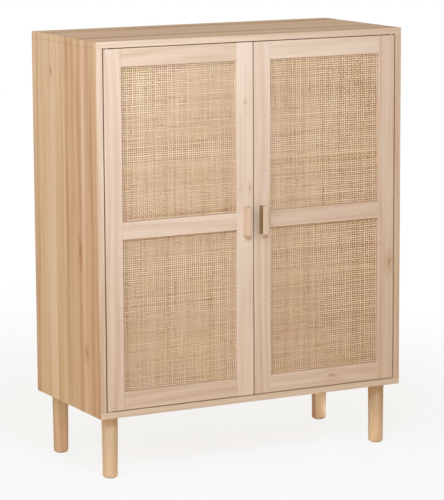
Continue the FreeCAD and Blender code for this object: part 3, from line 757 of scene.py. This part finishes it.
def woven_panel(name, node, material):
    """A plain weave of upright and level strands that fills the box of a rattan plate."""
    low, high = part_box(node)
    columns = spaced(low.x, high.x)
    rows = spaced(low.z, high.z)
    middle_y = (low.y + high.y) / 2
    upright = strand_points(columns, rows, 0)
    level = strand_points(rows, columns, 1)
    upright_places = upright + np.array([0.0, middle_y, 0.0])
    level_places = level[..., [2, 1, 0]] + np.array([0.0, middle_y, 0.0])
    places = np.concatenate([upright_places.reshape(-1, 3), level_places.reshape(-1, 3)])
    faces_upright = strand_faces(len(columns), 2 * len(rows), 0)
    faces_level = strand_faces(len(rows), 2 * len(columns), upright_places.size // 3)[:, ::-1]
    mesh = bpy.data.meshes.new(name)
    mesh.from_pydata(places, [], np.concatenate([faces_upright, faces_level]))
    mesh.polygons.foreach_set("use_smooth", np.ones(len(mesh.polygons), bool))

    tone = np.concatenate([np.repeat(strand_tones(columns), 2 * len(rows) * RING),
                           np.repeat(strand_tones(rows), 2 * len(columns) * RING)])
    mesh.attributes.new("strand_tone", "FLOAT", "POINT").data.foreach_set("value", tone)
    lengthwise = np.concatenate([upright[..., 2].ravel(), level[..., 2].ravel()])
    crosswise = np.tile(SECTION[:, 0], len(places) // RING)
    flat = np.stack([crosswise, lengthwise, np.zeros(len(places))], axis=1)
    mesh.attributes.new("strand_place", "FLOAT_VECTOR", "POINT").data.foreach_set("vector", flat.ravel())
    mesh.materials.append(material)
    piece = bpy.data.objects.new(name, mesh)
    bpy.context.scene.collection.objects.link(piece)
    return piece


def attribute(name, output):
    """A socket that reads a piece's own attribute."""
    return lambda net: net.node("ShaderNodeAttribute", attribute_name=name).outputs[output]


rattan_finish = finish_material(
    "woven_rattan", RATTAN,
    {"Vector": object_vector, "Across And Along": attribute("strand_place", "Vector"),
     "Strand Tone": attribute("strand_tone", "Fac")},
    relief=0.00008)

for side in SIDES:
    for half in HALVES:
        plate = side + "_door_" + half + "_rattan"
        weave = woven_panel(side + "_" + half + "_weave", plate, rattan_finish)
        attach(weave, side + "_door")
        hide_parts(plate)


# Floor, light and camera
FLOOR_RADIUS = 2.6
FLOOR_FADE_END = 0.95 * FLOOR_RADIUS
FLOOR_SOLID = 0.5
FLOOR_RINGS = 24
FLOOR_INNER_SHARE = 0.02
FLOOR_SEGMENTS = 96
FLOOR_COLOUR = (0.93, 0.93, 0.92, 1.0)
FLOOR_BOUNCE = (0.95, 0.88, 0.76, 1.0)
# How much of the floor the camera sees over the white
FLOOR_COVER = 0.19


def floor_piece():
    """A flat disc of rings round the origin that fades into the white background towards its rim.

    The camera sees it as a thin veil over the white, which keeps the soft shadow; other rays meet a warm
    matt floor.
    """
    rings = np.linspace(FLOOR_INNER_SHARE, 1.0, FLOOR_RINGS)[:, None] * FLOOR_RADIUS
    angles = np.linspace(0, 2 * math.pi, FLOOR_SEGMENTS, endpoint=False)[None, :]
    flat = np.zeros((FLOOR_RINGS, FLOOR_SEGMENTS))
    places = np.stack([rings * np.cos(angles), rings * np.sin(angles), flat], axis=-1)
    ring = np.arange(FLOOR_RINGS - 1)[:, None] * FLOOR_SEGMENTS
    here = np.arange(FLOOR_SEGMENTS)[None, :]
    after = (here + 1) % FLOOR_SEGMENTS
    outer = ring + FLOOR_SEGMENTS
    quads = np.stack([ring + here, outer + here, outer + after, ring + after], axis=-1)
    mesh = bpy.data.meshes.new("studio_floor")
    mesh.from_pydata(places.reshape(-1, 3), [], [*quads.reshape(-1, 4), np.arange(FLOOR_SEGMENTS)])
    piece = bpy.data.objects.new("studio_floor", mesh)
    bpy.context.scene.collection.objects.link(piece)
    material = bpy.data.materials.new("studio_floor")
    material.use_nodes = True
    tree = material.node_tree
    tree.nodes.clear()
    net = Net(tree)
    distance = net.vector("LENGTH", object_vector(net))
    seen = net.node("ShaderNodeLightPath").outputs["Is Camera Ray"]
    thin = net.math("MULTIPLY_ADD", seen, FLOOR_COVER - 1.0, 1.0)
    cover = net.math("MULTIPLY", thin, net.fall(distance, FLOOR_SOLID, FLOOR_FADE_END))
    matt = net.node("ShaderNodeBsdfDiffuse", {"Color": net.mix(seen, FLOOR_BOUNCE, FLOOR_COLOUR)})
    clear = net.node("ShaderNodeBsdfTransparent")
    blend = net.node("ShaderNodeMixShader")
    net.feed(blend.inputs[0], cover)
    net.feed(blend.inputs[1], clear.outputs[0])
    net.feed(blend.inputs[2], matt.outputs[0])
    leave = net.node("ShaderNodeOutputMaterial")
    net.feed(leave.inputs["Surface"], blend.outputs[0])
    mesh.materials.append(material)


WORLD_LIGHT = 0.615
WORLD_ZENITH = (0.62, 0.49, 0.31, 1.0)
WORLD_HORIZON = (1.0, 0.86, 0.59, 1.0)


def studio_world():
    """White to the camera and in reflections; otherwise soft warm light all round, weaker from above."""
    world = bpy.data.worlds.new("studio")
    world.use_nodes = True
    tree = world.node_tree
    tree.nodes.clear()
    net = Net(tree)
    height = net.split(net.node("ShaderNodeTexCoord").outputs["Generated"])[2]
    sky = net.mix(net.ramp(height, 0.1, 0.9), WORLD_HORIZON, WORLD_ZENITH)
    soft = net.node("ShaderNodeBackground", {"Color": sky, "Strength": WORLD_LIGHT})
    white = net.node("ShaderNodeBackground", {"Color": WHITE, "Strength": 1.0})
    rays = net.node("ShaderNodeLightPath").outputs
    seen = net.math("ADD", rays["Is Camera Ray"], rays["Is Glossy Ray"])
    seen = net.math("ADD", seen, rays["Is Transmission Ray"], clamp=True)
    blend = net.node("ShaderNodeMixShader")
    net.feed(blend.inputs[0], seen)
    net.feed(blend.inputs[1], soft.outputs[0])
    net.feed(blend.inputs[2], white.outputs[0])
    leave = net.node("ShaderNodeOutputWorld")
    net.feed(leave.inputs["Surface"], blend.outputs[0])
    bpy.context.scene.world = world


def soft_box(name, place, target, size, watts, colour, spread=180.0):
    """A rectangular area lamp facing a target, unseen by camera and reflections; spread in degrees."""
    lamp = bpy.data.lights.new(name, "AREA")
    lamp.shape = "RECTANGLE"
    lamp.size, lamp.size_y = size
    lamp.spread = math.radians(spread)
    lamp.energy = watts
    lamp.color = colour
    holder = bpy.data.objects.new(name, lamp)
    holder.location = place
    holder.visible_camera = False
    holder.visible_glossy = False
    aim = Vector(target) - Vector(place)
    holder.rotation_mode = "QUATERNION"
    holder.rotation_quaternion = aim.to_track_quat("-Z", "Y")
    bpy.context.scene.collection.objects.link(holder)


floor_piece()
studio_world()
# Lamps for the front, the left side, the front legs, the rear right leg and the back
soft_box("key_box", (-0.45, -1.25, 1.30), (-0.1, -0.17, 0.80), size=(0.25, 0.25),
         watts=12.2, colour=(0.60, 0.80, 1.0))
soft_box("side_box", (-2.0, -1.0, 1.5), (-0.4, 0.0, 0.8), size=(1.0, 1.0),
         watts=19.2, colour=(0.80, 0.91, 1.0))
soft_box("low_box", (-0.4, -1.5, 0.035), (0.1, 0.15, 0.0), size=(1.2, 0.06),
         watts=0.09, colour=(1.0, 0.93, 0.82), spread=6.0)
soft_box("under_box", (-0.55, -1.5, 0.03), (0.36, 0.15, 0.02), size=(0.2, 0.05),
         watts=0.038, colour=(0.82, 0.95, 1.0), spread=6.0)
soft_box("rear_box", (2.0, 1.7, 0.75), (0.1, 0.1, 0.6), size=(1.0, 1.0),
         watts=22.0, colour=(0.73, 0.87, 1.0))

# The photograph's view: turned to the left of the front, tipped down, slightly rolled
VIEW_TURN = math.radians(27.74)
VIEW_TIP = math.radians(9.553)
VIEW_ROLL = math.radians(-0.293)
VIEW_DISTANCE = 6.011
VIEW_ASIDE = 0.0088
VIEW_RISE = 0.9145
FOCAL_PIXELS = 2537.2
LONG_SIDE_PIXELS = 500
SENSOR_MILLIMETRES = 36.0


def photo_camera():
    """A camera without shift, set back from the middle of the carcass by the view's turn, tip and roll."""
    low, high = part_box("left_side_panel")
    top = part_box("top_panel")[1]
    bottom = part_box("bottom_panel")[0]
    middle = Vector((0.0, (low.y + high.y) / 2, (bottom.z + top.z) / 2))
    heading = Vector((math.sin(VIEW_TURN), math.cos(VIEW_TURN), 0.0))
    right = Vector((math.cos(VIEW_TURN), -math.sin(VIEW_TURN), 0.0))
    forward = heading * math.cos(VIEW_TIP) - Vector((0.0, 0.0, math.sin(VIEW_TIP)))
    up = right.cross(forward)
    rolled_right = right * math.cos(VIEW_ROLL) + up * math.sin(VIEW_ROLL)
    rolled_up = up * math.cos(VIEW_ROLL) - right * math.sin(VIEW_ROLL)
    data = bpy.data.cameras.new("photo_view")
    data.sensor_width = SENSOR_MILLIMETRES
    data.lens = FOCAL_PIXELS / LONG_SIDE_PIXELS * SENSOR_MILLIMETRES
    data.clip_end = 100.0
    camera = bpy.data.objects.new("photo_view", data)
    turn = Matrix((rolled_right, rolled_up, -forward)).transposed().to_4x4()
    place = middle - heading * VIEW_DISTANCE + right * VIEW_ASIDE + Vector((0.0, 0.0, VIEW_RISE))
    camera.matrix_world = Matrix.Translation(place) @ turn
    bpy.context.scene.collection.objects.link(camera)
    bpy.context.scene.camera = camera


photo_camera()
bpy.context.scene.view_settings.view_transform = "Standard"
